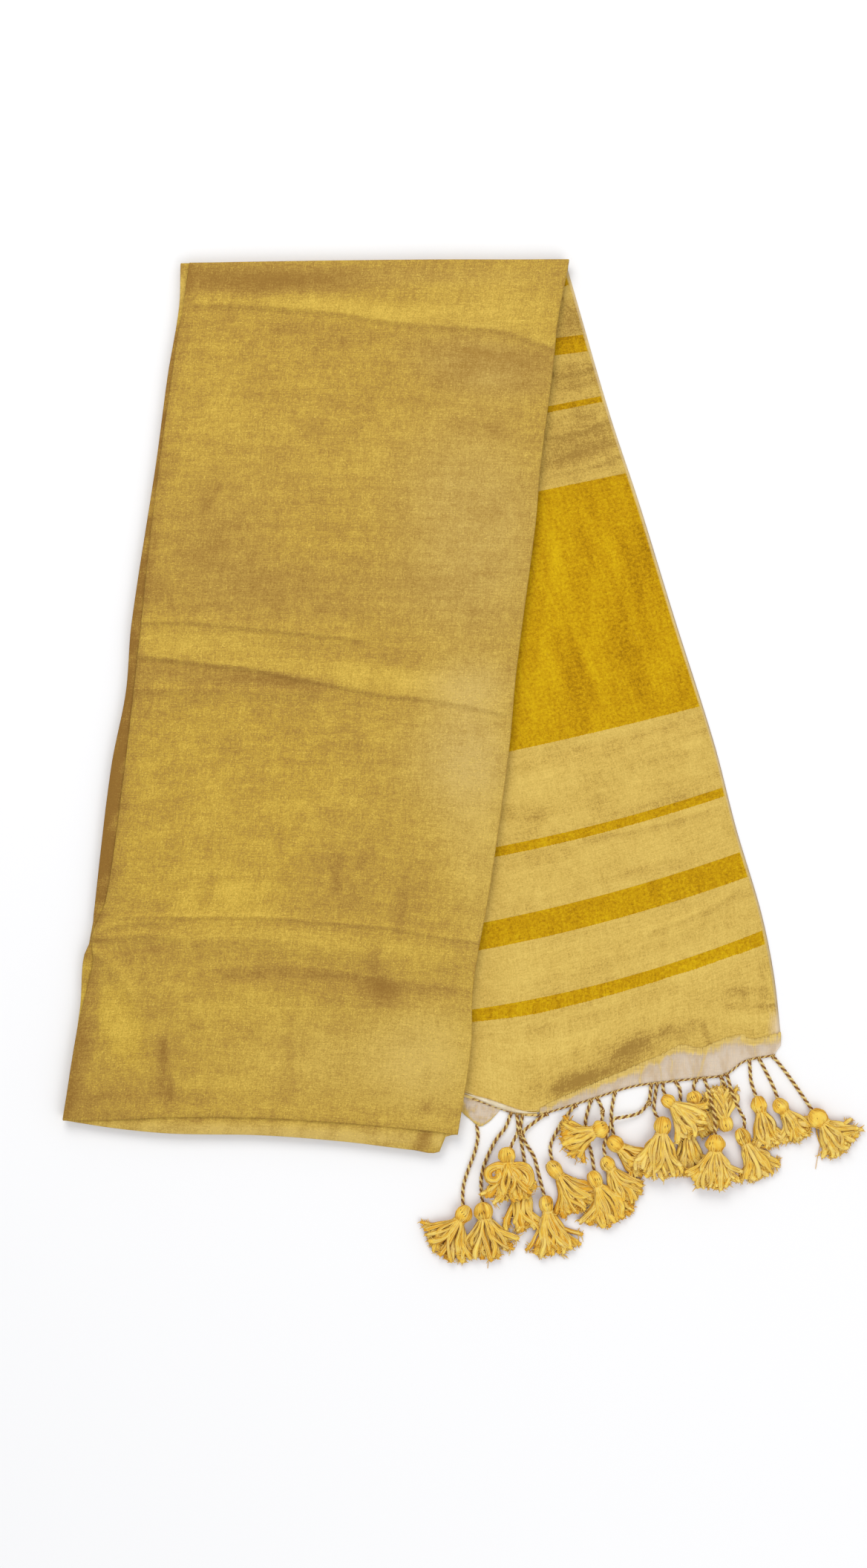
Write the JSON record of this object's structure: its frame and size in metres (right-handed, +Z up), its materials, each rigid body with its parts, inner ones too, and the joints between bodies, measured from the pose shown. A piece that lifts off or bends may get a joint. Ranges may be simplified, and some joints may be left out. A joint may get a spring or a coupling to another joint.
{
  "type": "folded saree",
  "caption": "Folded saree of gold tissue cloth lying flat, its striped end panel fanned out, with tassels on twisted cords along the hem.",
  "frame": {"origin": "under the middle of the saree's bounding box, on the surface it lies on", "axes": "+Z up from the surface, +Y towards the stack's top fold, +X towards the selvedge of the fanned end panel"},
  "size_m": [0.5996, 0.7588, 0.0146],
  "materials": {
    "gold_tissue": "tan warp and fine gold metallic weft, soft metallic sheen",
    "panel_tissue": "gold tissue crossed by dense mustard-gold metallic stripes, with a pale selvedge",
    "sheer_end": "sheer pale warp and weft with no gold",
    "hem_twist": "fine cord of gold and brown yarns twisted together",
    "tassel_cotton": "matte soft yellow cotton yarn, on cords of brown and pale gold yarns twisted together"
  },
  "bodies": {
    "root": {"folded_stack": "gold_tissue", "second_layer": "gold_tissue", "top_layer": "gold_tissue", "end_panel": "panel_tissue", "end_strip": "sheer_end", "corner_flap": "sheer_end", "hem_cord": "hem_twist", "tassel_01": "tassel_cotton", "tassel_02": "tassel_cotton", "tassel_03": "tassel_cotton", "tassel_04": "tassel_cotton", "tassel_05": "tassel_cotton", "tassel_06": "tassel_cotton", "tassel_07": "tassel_cotton", "tassel_08": "tassel_cotton", "tassel_09": "tassel_cotton", "tassel_10": "tassel_cotton", "tassel_11": "tassel_cotton", "tassel_12": "tassel_cotton", "tassel_13": "tassel_cotton", "tassel_14": "tassel_cotton", "tassel_15": "tassel_cotton", "tassel_16": "tassel_cotton", "tassel_17": "tassel_cotton", "tassel_18": "tassel_cotton", "tassel_19": "tassel_cotton", "tassel_20": "tassel_cotton"}
  },
  "joints": []
}
